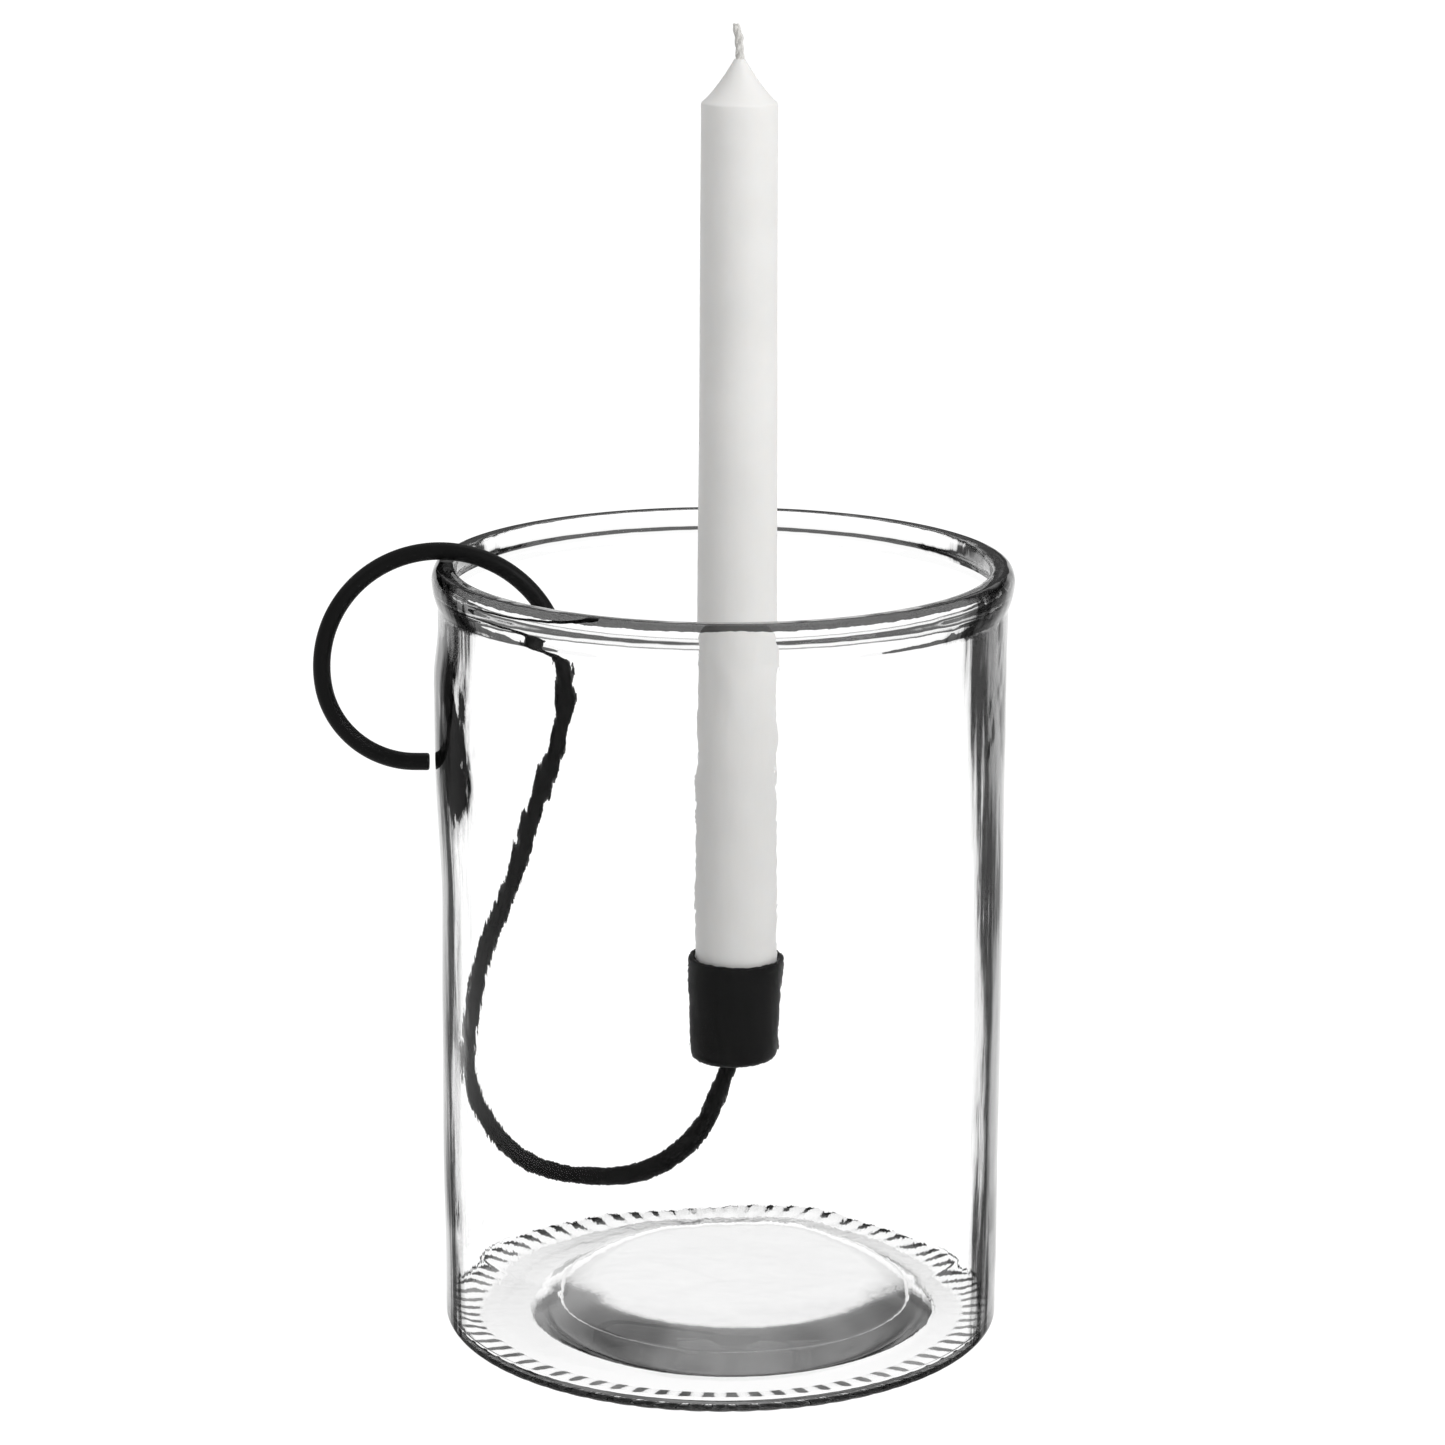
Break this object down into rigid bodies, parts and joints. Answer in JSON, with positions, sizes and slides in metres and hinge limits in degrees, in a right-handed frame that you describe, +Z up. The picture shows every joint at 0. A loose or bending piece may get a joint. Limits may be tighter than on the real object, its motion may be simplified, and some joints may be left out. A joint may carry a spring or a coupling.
{
  "type": "candle lantern",
  "caption": "Cylindrical glass jar lantern with a bent black rod hooked over its lip: a ring handle outside, and inside a cup holding a tall dinner candle.",
  "frame": {"origin": "centre of the jar's resting ring, on the table", "axes": "+Z up along the jar's axis; the rod lies in the XZ plane and hooks over the lip on the -X side; +Y away from the viewer who sees the hook on the left"},
  "size_m": [0.1983, 0.1642, 0.3744],
  "materials": {
    "clear_glass": "clear pressed glass, faintly wavy",
    "black_rod": "satin black powder coat",
    "black_weld": "satin black powder coat over a weld",
    "black_cup": "satin black powder coat",
    "ivory_wax": "smooth undyed wax",
    "cotton_wick": "braided unlit cotton"
  },
  "bodies": {
    "jar": {"glass_jar": "clear_glass"},
    "hanger": {"hanger_rod": "black_rod", "cup_weld": "black_weld", "candle_cup": "black_cup"},
    "candle": {"candle": "ivory_wax", "wick": "cotton_wick"}
  },
  "joints": [
    {"name": "hanger_lift", "type": "slide", "parent": "jar", "child": "hanger", "axis": [0.0209, 0, 0.9998], "range_m": [0, 0.2]},
    {"name": "candle_lift", "type": "slide", "parent": "hanger", "child": "candle", "axis": [0, 0, 1], "range_m": [0, 0.16]}
  ]
}
